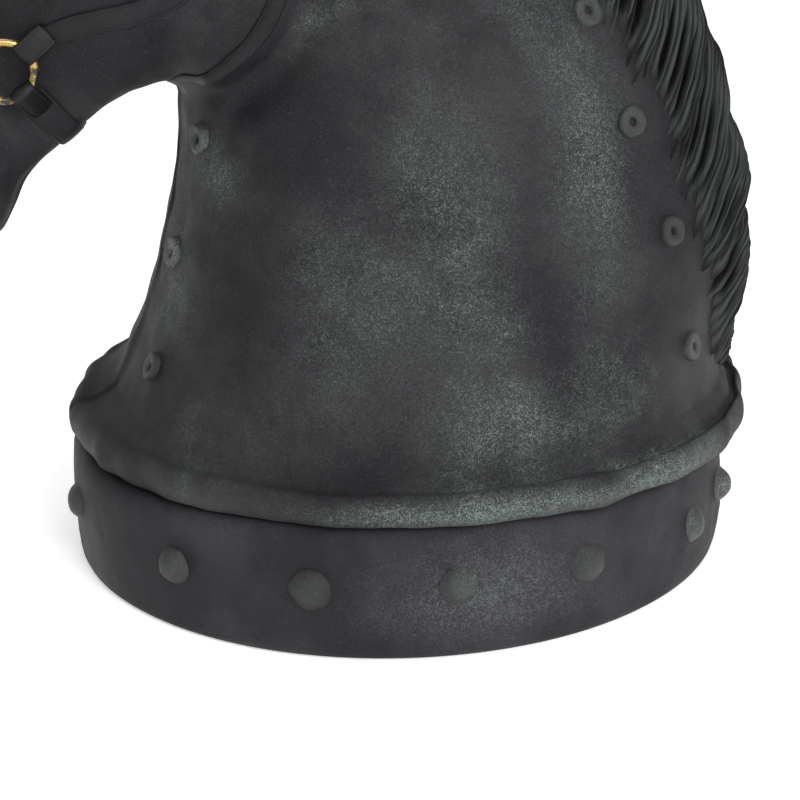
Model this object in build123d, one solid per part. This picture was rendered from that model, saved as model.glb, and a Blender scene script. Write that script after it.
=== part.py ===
from build123d import *
from math import cos, hypot, pi, radians, sin
import os


# Giant garden chess knight: a hollow cast horse bust on a round studded plinth.
# Millimetres, +Z up, origin at the centre of the plinth's bottom face. The horse
# faces -X, its left side faces -Y, and the two half shells part at y = 0.

os.makedirs("parts", exist_ok=True)

# ---- driving dimensions ----------------------------------------------------
BASE_R = 277.0            # widest radius of the plinth band
BAND_H = 104.0            # height of the crease between the band and the ridge
BAND_WALL = 11.0
BAND_TOP_R = 269.0
BAND_FOOT_R = 272.0
LEDGE_R = 232.0           # bore of the inward ledge that carries the bust
LEDGE_T = 12.0

RIDGE_R = 285.0           # outer radius of the rolled ridge under the neck
RIDGE_X = 9.0             # the ridge sits this far behind the plinth's centre
RIDGE_TOP = 140.0
RIDGE_BORE_R = 224.0

SHELL_WALL = 9.0
STRIP_T = 4.0             # laminate strips that join the half shells inside
STRIP_W = 44.0
# Side-view areas that hold the two strips: x, z.
FRONT_SEAM_AREA = [(-300, 150), (-100, 150), (-100, 440), (-190, 440), (-190, 360)]
REAR_SEAM_AREA = [(340, 150), (100, 150), (60, 560), (-60, 660), (-60, 820), (340, 820)]
SECTION_POWER = 2.3       # roundness of a section: 2 is an ellipse
CREST_SHARPNESS = 6       # how closely the mane keeps to the crest

# The horse's sections fan round the throat. Each runs from a point under the
# neck or jaw to one on the crest or face: x, z, x, z, half width, mane height.
SECTIONS = [
    (-236, 140, 267, 140, 236, 12),
    (-225, 175, 269, 178, 225, 22),
    (-211, 213, 272, 220, 212, 26),
    (-198, 258, 274, 270, 199, 27),
    (-186, 303, 266, 328, 182, 26),
    (-178, 345, 250, 388, 164, 28),
    (-174, 372, 224, 448, 148, 32),
    (-172, 388, 186, 512, 133, 36),
    (-171, 397, 138, 578, 122, 38),
    (-173, 403, 78, 642, 116, 38),
    (-177, 406, 10, 706, 110, 32),
    (-183, 408, -62, 752, 106, 22),
    (-191, 407, -140, 742, 106, 16),
    (-201, 404, -196, 690, 108, 12),
    (-212, 400, -240, 636, 104, 10),
    (-224, 392, -282, 580, 92, 8),
    (-237, 381, -322, 524, 74, 8),
    (-253, 368, -361, 469, 58, 8),
    (-296, 337, -393, 428, 51, 8),
    (-322, 292, -422, 387, 50, 8),
    (-351, 281, -432, 355, 40, 8),
    (-372, 288, -424, 336, 24, 8),
]

# Head frame: t runs from the bridle ring up towards the poll, and n runs across
# the head towards the underside of the jaw.
HEAD_O = (-311.0, 438.0)
HEAD_ANGLE = 46.8
STRAP_T = 3.5
STRAP_W = 24.0
BROWBAND_W = 18.0
THROAT_LASH_W = 20.0
RING_R = 23.0             # centre-line radius of the bridle rings
RING_WIRE = 3.2
LOOP_T = 2.4              # leather of the strap loops that hold a ring
LOOP_ANGLES = (HEAD_ANGLE + 90, -52.7, 41.0)
# Strap centre lines in side view: x, z.
CHEEK_LINE = [
    (-289, 457), (-266, 469), (-236, 480), (-205, 487), (-170, 505), (-136, 553), (-113, 612), (-98, 652),
]
CHIN_LINE = [(-295, 417), (-270, 384), (-217, 314)]
CROWN_LINE = [(-98, 652), (-50, 788)]
BROW_LINE = [(-100, 660), (-152, 706), (-215, 738)]
THROAT_LINE = [
    (-92, 634), (-82, 580), (-86, 530), (-99, 491), (-118, 458), (-143, 433), (-164, 419), (-190, 402),
]
EYE_TN = (207.0, -25.0)
EYE_R = 20.0
# Ear sections: x, y, z, half length, half thickness.
EAR = [
    (-104, -47, 705, 22, 17),
    (-112, -55, 768, 21, 14),
    (-118, -62, 812, 12, 8),
    (-121, -66, 838, 2.5, 2.0),
]
FORELOCK = [(-84, 800), (-84, 722), (-140, 676), (-212, 622), (-262, 640), (-190, 800)]
FORELOCK_W = 23.0

STUD_R = 15.5
STUD_H = 12.0
STUD_Z = 58.0
# Hand-set studs, degrees round from the front towards the left. One is missing.
STUD_ANGLES = [8, 42, 67.5, 91.5, 114.5, 142, 160, 187, 214, 242, 268, 293, 318]
RIVET_R = 15.0
RIVET_T = 5.0
RIVET_BORE_R = 3.2
# Washer-headed rivets along the edges of each half shell: x, z.
FRONT_RIVETS = [(-209, 187), (-185, 275), (-161, 373)]
REAR_RIVETS = [(222, 197), (204, 296), (174, 384), (143, 469), (98, 546), (42, 616)]

# Crest points where one mane lock ends and the next begins: x, z.
MANE_NOTCHES = [
    (279, 141), (292, 205), (296, 281), (283, 362), (263, 434),
    (234, 505), (196, 566), (148, 622), (94, 670), (34, 712), (-26, 748),
]
LOCK_BULGE = 9.0
LOCK_DEPTHS = [8, 22, 30, 32, 34, 38, 40, 40, 40, 38, 30]   # crest to tip
LOCK_DROPS = [0, 60, 54, 100, 116, 116, 112, 106, 98, 86, 60]   # notch to tip
LOCK_ROOT = 0.88          # where a lock's root meets the cut under the next one

PLATE_T = 12.0            # closing plate in the bottom of the plinth
SCREW_COUNT = 8
SCREW_PCD_R = 248.0
SCREW_R = 2.5
SCREW_HEAD_R = 5.5
SCREW_LEN = 34.0
BLOCK_W = 34.0
BLOCK_H = 30.0
PLUG_R = 24.0
PLUG_LIP_R = 30.0
PLUG_LIP_T = 4.0
PLUG_X = 95.0
PLUG_RECESS = 1.5
PLUG_CLEARANCE = 0.05
SAND_R = 222.0
SAND_TOP = 42.0
BOND_GAP = 0.1


# ---- frames and section curves ---------------------------------------------
def head_xz(t, n):
    """Side-view point of head coordinates t, n."""
    a = radians(HEAD_ANGLE)
    return HEAD_O[0] + t * cos(a) + n * sin(a), HEAD_O[1] + t * sin(a) - n * cos(a)


def section(row, grow, mane):
    """Face of one section's left half and a strip past the parting plane."""
    ax, az, bx, bz, half_width, rise = row
    length = hypot(bx - ax, bz - az)
    ux, uz = (bx - ax) / length, (bz - az) / length
    low, high = -grow, length + grow
    mid, reach = (low + high) / 2, (high - low) / 2
    points = []
    for k in range(-1, 10):
        c, s = cos(pi * k / 8), sin(pi * k / 8)
        along = mid - reach * (1 if c > 0 else -1) * abs(c) ** (2 / SECTION_POWER)
        along += mane * rise * max(0.0, -c) ** CREST_SHARPNESS
        across = 0.0
        if k not in (0, 8):
            across = (half_width + grow) * (1 if s > 0 else -1) * abs(s) ** (2 / SECTION_POWER)
        points.append(Vector(ax + ux * along, -across, az + uz * along))
    return make_face([Spline(*points).edge(), Line(points[-1], points[0]).edge()])


def horse(grow=0.0, mane=0.0, foot=0.0):
    """The horse's form on the left and just past the parting plane, for cutting."""
    rows = SECTIONS
    if foot:
        ax, az, bx, bz, half_width, rise = SECTIONS[0]
        rows = [(ax, az - foot, bx, bz - foot, half_width, rise)] + SECTIONS
    return loft([section(row, grow, mane) for row in rows])


def left_half(shape):
    """The part of a shape on the left of the parting plane."""
    return shape & Box(1400, 400, 2000, align=(Align.CENTER, Align.MAX, Align.CENTER))


def side_face(points):
    """Flat face in the parting plane from side-view points."""
    return make_face(Polyline(*[(x, 0, z) for x, z in points], close=True))


def side_prism(points, half_width):
    """Prism to the left of the parting plane from side-view points."""
    return extrude(side_face(points), half_width, dir=(0, -1, 0))


def mirrored(shape):
    """The same shape on the right-hand side."""
    return mirror(shape, about=Plane.XZ)


def both_sides(shape):
    """A left-hand shape joined to its mirror image across the parting plane."""
    return shape + mirrored(shape)


def ring(profile, x=0.0):
    """Ring about the vertical axis at x, from a closed r, z outline."""
    face = make_face(Polyline(*[(r, 0, z) for r, z in profile], close=True))
    return Pos(x, 0, 0) * revolve(face, Axis.Z)


def disc(radius, low, high, x=0.0, y=0.0):
    """Upright cylinder between two heights."""
    return Pos(x, y, low) * Cylinder(radius, high - low, align=(Align.CENTER, Align.CENTER, Align.MIN))


def largest(shape):
    """The biggest solid of a shape, without slivers cut off it."""
    return max(shape.solids(), key=lambda solid: solid.volume)


def keep(name, shape):
    """Writes a node's STEP file."""
    solids = shape.solids()
    export_step(Compound(solids) if len(solids) > 1 else solids[0], f"parts/{name}.step")
    volume = sum(s.volume for s in solids) / 1000
    print(f"{name}: {len(solids)} solids, {volume:.1f} cm3, valid {all(s.is_valid for s in solids)}")


def keep_pair(name, shape):
    """Writes a left-hand node and its mirror image."""
    keep("left_" + name, shape)
    keep("right_" + name, mirrored(shape))


# ---- the bust's castings ---------------------------------------------------
def ridge_half():
    """Left half of the rolled ridge at the foot of the bust."""
    roll = Spline((265, 0, RIDGE_TOP), (279, 0, 135), (RIDGE_R, 0, 122), (279, 0, 111), (266, 0, BAND_H))
    bore, top = RIDGE_BORE_R, RIDGE_TOP
    web = Polyline((266, 0, BAND_H), (bore, 0, BAND_H), (bore, 0, top), (265, 0, top))
    face = make_face([roll.edge()] + list(web.edges()))
    return left_half(Pos(RIDGE_X, 0, 0) * revolve(face, Axis.Z))


def left_shell(body):
    """Hollow left half of the bust, with its half of the ridge."""
    return left_half(body - horse(-SHELL_WALL, foot=10)) + ridge_half()


def seam_strip(area):
    """Laminate strip inside the joint of the shells, within a side-view area."""
    inner = horse(-SHELL_WALL - STRIP_T, foot=10)
    return both_sides((horse(-SHELL_WALL, foot=10) & side_prism(area, STRIP_W / 2)) - inner)


# ---- mane ------------------------------------------------------------------
def crest_normal(k):
    """Outward unit vector of the crest at notch k, in side view."""
    a = MANE_NOTCHES[max(k - 1, 0)]
    b = MANE_NOTCHES[min(k + 1, len(MANE_NOTCHES) - 1)]
    length = hypot(b[0] - a[0], b[1] - a[1])
    return (b[1] - a[1]) / length, -(b[0] - a[0]) / length


def lock_wedge(k, share):
    """Point on the cut under lock k, from its forward tip (0) to its free end (1)."""
    x, z = MANE_NOTCHES[k]
    ox, oz = crest_normal(k)
    out = share * (LOCK_DEPTHS[k] + LOCK_BULGE - 3) - LOCK_DEPTHS[k]
    drop = (1 - share) * LOCK_DROPS[k]
    return x + ox * out + oz * drop, z + oz * out - ox * drop


def lock_outline(k):
    """Side-view outline of mane lock k, from its lower end to its root."""
    low, high = MANE_NOTCHES[k], MANE_NOTCHES[k + 1]
    ox, oz = crest_normal(k)
    px, pz = crest_normal(k + 1)
    mx, mz = (ox + px) / 2, (oz + pz) / 2
    points = [lock_wedge(k, 1.0)]
    for share, out in ((0.3, LOCK_BULGE), (0.65, LOCK_BULGE - 1)):
        x = low[0] + share * (high[0] - low[0]) + mx * out
        z = low[1] + share * (high[1] - low[1]) + mz * out
        points.append((x, z))
    return points + [lock_wedge(k + 1, LOCK_ROOT), lock_wedge(k + 1, 0.0), lock_wedge(k, 0.0)]


def mane_locks(body):
    """Every mane lock, each astride the crest of the neck."""
    cover = horse(4, mane=1.35)
    locks = []
    for k in range(len(MANE_NOTCHES) - 1):
        lock = (side_prism(lock_outline(k), 250) - body) & cover
        locks.append(both_sides(largest(lock)))
    return locks


def forelock(body):
    """Tuft of mane that falls between the ears onto the forehead."""
    return both_sides((horse(6, mane=1.0) & side_prism(FORELOCK, FORELOCK_W)) - body)


# ---- head fittings ---------------------------------------------------------
def on_side(body, x, z):
    """Point and outward normal on the left side of the bust."""
    hits = body.find_intersection_points(Axis((x, -500, z), (0, 1, 0)))
    point, normal = min(hits, key=lambda hit: hit[0].Y)
    return point, normal if normal.Y < 0 else -normal


def ribbon(line, width):
    """Side-view outline of a strap of even width along a centre line."""
    near, far = [], []
    for k, (x, z) in enumerate(line):
        ax, az = line[max(k - 1, 0)]
        bx, bz = line[min(k + 1, len(line) - 1)]
        length = hypot(bx - ax, bz - az)
        px, pz = (az - bz) / length * width / 2, (bx - ax) / length * width / 2
        near.append((x + px, z + pz))
        far.append((x - px, z - pz))
    return near + far[::-1]


def across_head(low, high):
    """Side-view outline of a strap square to the head, between two n values."""
    half = STRAP_W / 2
    return [head_xz(t, n) for t, n in ((-half, low), (half, low), (half, high), (-half, high))]


def strap(body, outline, *cut_outlines):
    """Left half of a strap that hugs the head inside a side-view outline."""
    face = side_face(outline)
    for cut in cut_outlines:
        face = face - side_face(cut)
    return (horse(STRAP_T) & extrude(face, 200, dir=(0, -1, 0))) - body


def bridle(body):
    """Every strap of the bridle by name, with those that pass over the midline whole."""
    crown = ribbon(CROWN_LINE, STRAP_W + 4)
    cheek = ribbon(CHEEK_LINE, STRAP_W)
    brow = ribbon(BROW_LINE, BROWBAND_W)
    throat = ribbon(THROAT_LINE, THROAT_LASH_W)
    reach = RING_R + RING_WIRE
    return {
        "crownpiece": both_sides(strap(body, crown)),
        "left_cheekpiece": strap(body, cheek, crown),
        "right_cheekpiece": mirrored(strap(body, cheek, crown)),
        "browband": both_sides(largest(strap(body, brow, crown, cheek))),
        "throat_lash": both_sides(strap(body, throat, crown, cheek)),
        "noseband": both_sides(strap(body, across_head(-140, -reach))),
        "chin_strap": both_sides(strap(body, ribbon(CHIN_LINE, STRAP_W))),
    }


def ring_plane(body):
    """Depth of the left ring's centre plane, just clear of the cheek all round."""
    x, z = HEAD_O
    reach = RING_R + RING_WIRE
    around = [radians(45 * k) for k in range(8)]
    cheek = min(on_side(body, x + reach * cos(a), z + reach * sin(a))[0].Y for a in around)
    return cheek - RING_WIRE - 0.5


def bridle_ring(depth, wire=RING_WIRE):
    """Round ring on the left cheek."""
    x, z = HEAD_O
    return Pos(x, depth, z) * Rot(90, 0, 0) * Torus(RING_R, wire)


def ring_loops(depth):
    """Strap ends folded round the left ring: noseband, chin strap, cheekpiece."""
    x, z = HEAD_O
    thick = RING_WIRE + LOOP_T
    block = Box(2 * thick + 3, 40, STRAP_W, align=(Align.CENTER, Align.MIN, Align.CENTER))
    loops = []
    for angle in LOOP_ANGLES:
        turn = Pos(x, depth - thick, z) * Rot(0, -angle, 0)
        loop = turn * Pos(RING_R, 0, 0) * block
        loop = loop - bridle_ring(depth, RING_WIRE + BOND_GAP)
        loops.append(largest(loop - horse(STRAP_T)))
    return Compound(loops)


def ear(body):
    """Left ear, set on the poll behind the browband."""
    faces = []
    for x, y, z, half_long, half_thick in EAR:
        faces.append(Pos(x, y, z) * Ellipse(half_long, half_thick))
    return loft(faces) - body


def eye(body):
    """Left eyeball, let into its socket."""
    point, normal = on_side(body, *head_xz(*EYE_TN))
    centre = point - normal * (EYE_R * 0.55)
    return (Pos(*centre) * Sphere(EYE_R)) - body


def rivet(body, x, z):
    """Washer-headed rivet lying on the left shell."""
    point, normal = on_side(body, x, z)
    plane = Plane(origin=point - normal * 12, z_dir=normal)
    head = plane * Cylinder(RIVET_R, 12 + RIVET_T, align=(Align.CENTER, Align.CENTER, Align.MIN))
    bore = plane * Pos(2, 1, 0) * Cylinder(RIVET_BORE_R, 60)
    return head - bore - body


# ---- plinth ----------------------------------------------------------------
def plinth_band():
    """Hollow band of the plinth, with the ledge that carries the bust."""
    bore = BASE_R - BAND_WALL
    return ring([
        (BAND_FOOT_R, 0), (BASE_R, 10), (BASE_R, BAND_H - 15), (BAND_TOP_R, BAND_H),
        (LEDGE_R, BAND_H), (LEDGE_R, BAND_H - LEDGE_T), (bore, BAND_H - LEDGE_T), (bore, 0),
    ])


def plinth_studs():
    """Domed studs round the band."""
    crown_r = (STUD_R ** 2 + STUD_H ** 2) / (2 * STUD_H)
    dome = Pos(0, 0, STUD_H - crown_r) * Sphere(crown_r)
    stud = dome & Cylinder(STUD_R, 2 * STUD_H + 6)
    studs = []
    for degrees_round in STUD_ANGLES:
        a = radians(degrees_round)
        outward = Vector(-cos(a), -sin(a), 0)
        plane = Plane(origin=outward * (BASE_R - 0.6) + Vector(0, 0, STUD_Z), z_dir=outward)
        studs.append((plane * stud) - disc(BASE_R, 0, BAND_H))
    return Compound(studs)


def screw_places():
    """Centres of the screws that hold the closing plate."""
    step = 2 * pi / SCREW_COUNT
    angles = [k * step + 0.2 for k in range(SCREW_COUNT)]
    return [(SCREW_PCD_R * cos(a), SCREW_PCD_R * sin(a)) for a in angles]


def screw(x, y, clearance=0.0):
    """Countersunk screw, head flush with the underside of the plate."""
    head_h = SCREW_HEAD_R - SCREW_R
    upright = (Align.CENTER, Align.CENTER, Align.MIN)
    head = Cone(SCREW_HEAD_R + clearance, SCREW_R + clearance, head_h, align=upright)
    return Pos(x, y, 0) * head + disc(SCREW_R + clearance, head_h, SCREW_LEN + clearance, x, y)


def base_plate():
    """Closing plate, with countersunk screw holes and the filler hole."""
    plate = disc(BASE_R - BAND_WALL - BOND_GAP, 0, PLATE_T)
    plate -= disc(PLUG_R + PLUG_CLEARANCE, 0, PLATE_T, PLUG_X)
    plate -= disc(PLUG_LIP_R + PLUG_CLEARANCE, 0, PLUG_RECESS + PLUG_LIP_T, PLUG_X)
    for x, y in screw_places():
        plate -= screw(x, y, BOND_GAP)
    return plate


def screw_blocks():
    """Blocks bonded inside the band above the closing plate."""
    blocks = []
    for x, y in screw_places():
        reach = hypot(x, y)
        plane = Plane(origin=(x, y, PLATE_T), x_dir=(x / reach, y / reach, 0), z_dir=(0, 0, 1))
        block = plane * Box(BLOCK_W + 10, BLOCK_W, BLOCK_H, align=(Align.CENTER, Align.CENTER, Align.MIN))
        blocks.append((block & disc(BASE_R - BAND_WALL, 0, BAND_H)) - screw(x, y, BOND_GAP))
    return Compound(blocks)


def filler_plug():
    """Push-in bung that closes the filler hole."""
    lip = disc(PLUG_LIP_R, PLUG_RECESS, PLUG_RECESS + PLUG_LIP_T, PLUG_X)
    return lip + disc(PLUG_R, PLUG_RECESS, PLATE_T, PLUG_X)


def sand_ballast():
    """Sand fill in the plinth, held clear of the filler hole."""
    return disc(SAND_R, PLATE_T, SAND_TOP) - disc(PLUG_LIP_R + 6, PLATE_T, SAND_TOP, PLUG_X)


# ---- all nodes -------------------------------------------------------------
def main():
    """Builds and writes every node."""
    body = horse()
    keep_pair("shell", left_shell(body))
    keep("front_seam_strip", seam_strip(FRONT_SEAM_AREA))
    keep("rear_seam_strip", seam_strip(REAR_SEAM_AREA))
    for k, lock in enumerate(mane_locks(body)):
        keep(f"mane_lock_{k + 1:02d}", lock)
    straps = bridle(body)
    for name, solid in straps.items():
        keep(name, solid)
    keep("forelock", forelock(body) - straps["browband"])
    depth = ring_plane(body)
    keep_pair("bridle_ring", bridle_ring(depth))
    keep_pair("ring_loops", ring_loops(depth))
    keep_pair("ear", ear(body))
    keep_pair("eye", eye(body))
    rivets = Compound([rivet(body, x, z) for x, z in FRONT_RIVETS + REAR_RIVETS])
    keep_pair("neck_rivets", rivets)
    keep("plinth_band", plinth_band())
    keep("plinth_studs", plinth_studs())
    keep("base_plate", base_plate())
    keep("base_plate_screws", Compound([screw(x, y) for x, y in screw_places()]))
    keep("screw_blocks", screw_blocks())
    keep("filler_plug", filler_plug())
    keep("sand_ballast", sand_ballast())


main()
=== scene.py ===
"""Looks of the giant garden chess knight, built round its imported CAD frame.

Metres, +Z up, origin at the centre of the plinth's bottom face. The horse faces
-X and its left side faces -Y. Tables are in millimetres, as in the part's source.
"""

from math import cos, pi, radians, sin

import bmesh
import bpy
import numpy as np
from mathutils import Matrix, Vector
from mathutils.bvhtree import BVHTree

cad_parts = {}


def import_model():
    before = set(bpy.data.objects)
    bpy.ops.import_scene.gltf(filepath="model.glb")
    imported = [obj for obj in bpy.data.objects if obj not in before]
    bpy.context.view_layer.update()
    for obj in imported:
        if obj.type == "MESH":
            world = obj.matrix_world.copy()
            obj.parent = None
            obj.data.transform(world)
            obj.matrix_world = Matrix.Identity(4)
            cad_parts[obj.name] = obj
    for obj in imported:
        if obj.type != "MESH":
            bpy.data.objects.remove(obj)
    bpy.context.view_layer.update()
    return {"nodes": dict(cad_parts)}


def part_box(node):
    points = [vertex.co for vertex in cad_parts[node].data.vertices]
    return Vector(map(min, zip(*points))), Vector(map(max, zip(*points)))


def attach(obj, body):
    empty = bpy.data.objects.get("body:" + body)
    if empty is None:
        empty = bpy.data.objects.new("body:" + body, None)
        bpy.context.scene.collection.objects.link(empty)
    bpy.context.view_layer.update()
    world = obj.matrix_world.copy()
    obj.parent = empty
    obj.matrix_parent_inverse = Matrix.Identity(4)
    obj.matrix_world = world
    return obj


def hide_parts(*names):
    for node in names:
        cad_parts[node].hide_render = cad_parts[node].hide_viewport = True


MM = 0.001

# ---- camera and stage ------------------------------------------------------
CAMERA_AZIMUTH = -8.0
CAMERA_ELEVATION = 20.5
CAMERA_ROLL = -1.3
CAMERA_DISTANCE = 2.4
CAMERA_TARGET = (0.004, 0.0, 0.1145)
CAMERA_LENS = 126.0
FLOOR_Z = -0.0004    # a hair below the plinth, so that the two faces stay apart
FLOOR_HALF = 40

# ---- the bust's form, shared with the part's source ------------------------
# x, z of a point under the neck or jaw, x, z of one on the crest or face,
# half width, mane height.
SECTIONS = [
    (-236, 140, 267, 140, 236, 12),
    (-225, 175, 269, 178, 225, 22),
    (-211, 213, 272, 220, 212, 26),
    (-198, 258, 274, 270, 199, 27),
    (-186, 303, 266, 328, 182, 26),
    (-178, 345, 250, 388, 164, 28),
    (-174, 372, 224, 448, 148, 32),
    (-172, 388, 186, 512, 133, 36),
    (-171, 397, 138, 578, 122, 38),
    (-173, 403, 78, 642, 116, 38),
    (-177, 406, 10, 706, 110, 32),
    (-183, 408, -62, 752, 106, 22),
    (-191, 407, -140, 742, 106, 16),
    (-201, 404, -196, 690, 108, 12),
    (-212, 400, -240, 636, 104, 10),
    (-224, 392, -282, 580, 92, 8),
    (-237, 381, -322, 524, 74, 8),
    (-253, 368, -361, 469, 58, 8),
    (-296, 337, -393, 428, 51, 8),
    (-322, 292, -422, 387, 50, 8),
    (-351, 281, -432, 355, 40, 8),
    (-372, 288, -424, 336, 24, 8),
]
SECTION_POWER = 2.3
CREST_SHARPNESS = 6
RIDGE_X = 11.0
HEAD_O = (-311.0, 438.0)
HEAD_ANGLE = radians(46.8)

# Notches in the mane's outline, lowest first: a little higher than in the part's source.
MANE_NOTCHES = [
    (279, 141), (294, 216), (293, 298), (276, 385), (253, 457),
    (223, 522), (186, 579), (138, 632), (86, 677), (30, 714), (-26, 748),
]
FRONT_RIVETS = [(-209, 187), (-185, 275), (-161, 373)]
REAR_RIVETS = [(222, 197), (204, 296), (174, 384), (143, 469), (98, 546), (42, 616)]
STUD_ANGLES = [8, 42, 67.5, 91.5, 114.5, 142, 160, 187, 214, 242, 268, 293, 318]
STUD_RISES = [2, 0, 1.5, 4.5, 4, -6, -3, 0.5, -1, 2, 0, -2, 1]
STUD_Z = 58.0
BASE_R = 277.0

RNG = np.random.default_rng(11)


# ---- scene basics ----------------------------------------------------------
def set_camera():
    """Camera at the viewing angle of the picture, rolled a little."""
    az, el, roll = radians(CAMERA_AZIMUTH), radians(CAMERA_ELEVATION), radians(CAMERA_ROLL)
    back = Vector((sin(az) * cos(el), -cos(az) * cos(el), sin(el)))
    right = (-back).cross(Vector((0, 0, 1))).normalized()
    up = right.cross(-back)
    r = right * cos(roll) + up * sin(roll)
    u = -right * sin(roll) + up * cos(roll)
    data = bpy.data.cameras.new("camera")
    data.lens = CAMERA_LENS
    data.clip_end = 20
    camera = bpy.data.objects.new("camera", data)
    bpy.context.scene.collection.objects.link(camera)
    place = Vector(CAMERA_TARGET) + back * CAMERA_DISTANCE
    camera.matrix_world = Matrix((
        (r.x, u.x, back.x, place.x),
        (r.y, u.y, back.y, place.y),
        (r.z, u.z, back.z, place.z),
        (0, 0, 0, 1),
    ))
    bpy.context.scene.camera = camera


def area_light(name, place, aim, size, power):
    """Soft square light aimed at a point."""
    data = bpy.data.lights.new(name, "AREA")
    data.energy = power
    data.shape = "RECTANGLE"
    data.size = data.size_y = size
    light = bpy.data.objects.new(name, data)
    bpy.context.scene.collection.objects.link(light)
    light.location = place
    light.rotation_euler = (Vector(aim) - Vector(place)).to_track_quat("-Z", "Y").to_euler()


def set_stage():
    """Pale floor under a white sky, with soft studio light."""
    world = bpy.data.worlds.new("studio")
    bpy.context.scene.world = world
    world.use_nodes = True
    background = world.node_tree.nodes["Background"]
    background.inputs["Color"].default_value = (1, 1, 1, 1)
    background.inputs["Strength"].default_value = 0.44
    bpy.context.scene.view_settings.view_transform = "Standard"

    mesh = bpy.data.meshes.new("floor")
    corners = [(-1, -1), (1, -1), (1, 1), (-1, 1)]
    mesh.from_pydata([(x * FLOOR_HALF, y * FLOOR_HALF, FLOOR_Z) for x, y in corners], [], [(0, 1, 2, 3)])
    floor = bpy.data.objects.new("floor", mesh)
    bpy.context.scene.collection.objects.link(floor)
    material = bpy.data.materials.new("floor")
    material.use_nodes = True
    shader = material.node_tree.nodes["Principled BSDF"]
    for key, value in (("Base Color", (0.93, 0.93, 0.93, 1)), ("Roughness", 0.9),
                       ("Emission Color", (1, 1, 1, 1)), ("Emission Strength", 0.45)):
        shader.inputs[key].default_value = value
    mesh.materials.append(material)

    area_light("key", (0.7, -2.7, 1.75), (0, 0, 0.3), 1.6, 86)
    area_light("side", (2.2, -1.6, 1.4), (0, 0, 0.35), 1.2, 5)
    area_light("fill", (-2.5, 0.2, 1.0), (-0.1, 0, 0.3), 1.2, 4)
    area_light("top", (-0.2, 0.4, 2.8), (0, 0, 0.3), 2.2, 22)


# ---- numeric helpers -------------------------------------------------------
def smoothstep(low, high, x):
    """0 below low, 1 above high, smooth between."""
    t = np.clip((x - low) / (high - low), 0, 1)
    return t * t * (3 - 2 * t)


def bump(x, width):
    """Bell of height 1 and the given width."""
    return np.exp(-0.5 * (x / width) ** 2)


def catmull(points, per_span):
    """Smooth curve through points (rows), with per_span samples per span."""
    p = np.asarray(points, float)
    ext = np.vstack([2 * p[0] - p[1], p, 2 * p[-1] - p[-2]])
    out = []
    for k in range(len(p) - 1):
        a, b, c, d = ext[k:k + 4]
        t = np.linspace(0, 1, per_span, endpoint=False)[:, None]
        out.append(0.5 * (2 * b + (c - a) * t + (2 * a - 5 * b + 4 * c - d) * t ** 2
                          + (3 * b - a - 3 * c + d) * t ** 3))
    out.append(p[-1:])
    return np.vstack(out)


def resample(points, count):
    """The same polyline with points evenly spaced along it."""
    p = np.asarray(points, float)
    step = np.r_[0, np.cumsum(np.linalg.norm(np.diff(p, axis=0), axis=1))]
    at = np.linspace(0, step[-1], count)
    return np.stack([np.interp(at, step, p[:, k]) for k in range(p.shape[1])], 1)


class Noise:
    """Smooth seeded noise: a sum of random waves of about one wavelength."""

    def __init__(self, wavelength, seed, waves=14):
        rng = np.random.default_rng(seed)
        direction = rng.normal(size=(waves, 3))
        direction /= np.linalg.norm(direction, axis=1)[:, None]
        length = wavelength * rng.uniform(0.6, 1.7, waves)
        self.k = direction * (2 * pi / length)[:, None]
        self.phase = rng.uniform(0, 2 * pi, waves)
        self.scale = (2.0 / waves) ** 0.5

    def __call__(self, p):
        p = np.asarray(p, float)
        return np.sin(p @ self.k.T + self.phase).sum(-1) * self.scale


def signed_distance(x, z, line):
    """Distance to a side-view polyline, positive on its left, and place along it."""
    line = np.asarray(line, float)
    best = np.full(np.shape(x), 1e9)
    sign = np.ones(np.shape(x))
    along = np.zeros(np.shape(x))
    seg = np.linalg.norm(np.diff(line, axis=0), axis=1)
    total = seg.sum()
    start = 0.0
    for (ax, az), (bx, bz), length in zip(line[:-1], line[1:], seg):
        ux, uz = (bx - ax) / length, (bz - az) / length
        t = np.clip((x - ax) * ux + (z - az) * uz, 0, length)
        dx, dz = x - (ax + ux * t), z - (az + uz * t)
        d = np.hypot(dx, dz)
        nearer = d < best
        best = np.where(nearer, d, best)
        sign = np.where(nearer, np.sign(ux * (z - az) - uz * (x - ax)), sign)
        along = np.where(nearer, (start + t) / total, along)
        start += length
    return best * sign, along


def make_object(name, verts_mm, faces):
    """Mesh object from vertices in millimetres."""
    mesh = bpy.data.meshes.new(name)
    mesh.from_pydata([tuple(v) for v in np.asarray(verts_mm) * MM], [], faces)
    mesh.validate()
    mesh.update()
    mesh.polygons.foreach_set("use_smooth", [True] * len(mesh.polygons))
    obj = bpy.data.objects.new(name, mesh)
    bpy.context.scene.collection.objects.link(obj)
    return obj


def fix_normals(obj, merge=0.0):
    """Outward normals on a closed mesh, with near points merged if asked."""
    bm = bmesh.new()
    bm.from_mesh(obj.data)
    if merge:
        bmesh.ops.remove_doubles(bm, verts=bm.verts, dist=merge)
    bmesh.ops.recalc_face_normals(bm, faces=bm.faces)
    bm.to_mesh(obj.data)
    bm.free()
    obj.data.polygons.foreach_set("use_smooth", [True] * len(obj.data.polygons))
    return obj


def grid_faces(rows, cols, close_rows=False, close_cols=False, offset=0):
    """Quads of a rows by cols grid of vertices."""
    faces = []
    for r in range(rows if close_rows else rows - 1):
        s = (r + 1) % rows
        for c in range(cols if close_cols else cols - 1):
            d = (c + 1) % cols
            faces.append((offset + r * cols + c, offset + r * cols + d,
                          offset + s * cols + d, offset + s * cols + c))
    return faces


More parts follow.
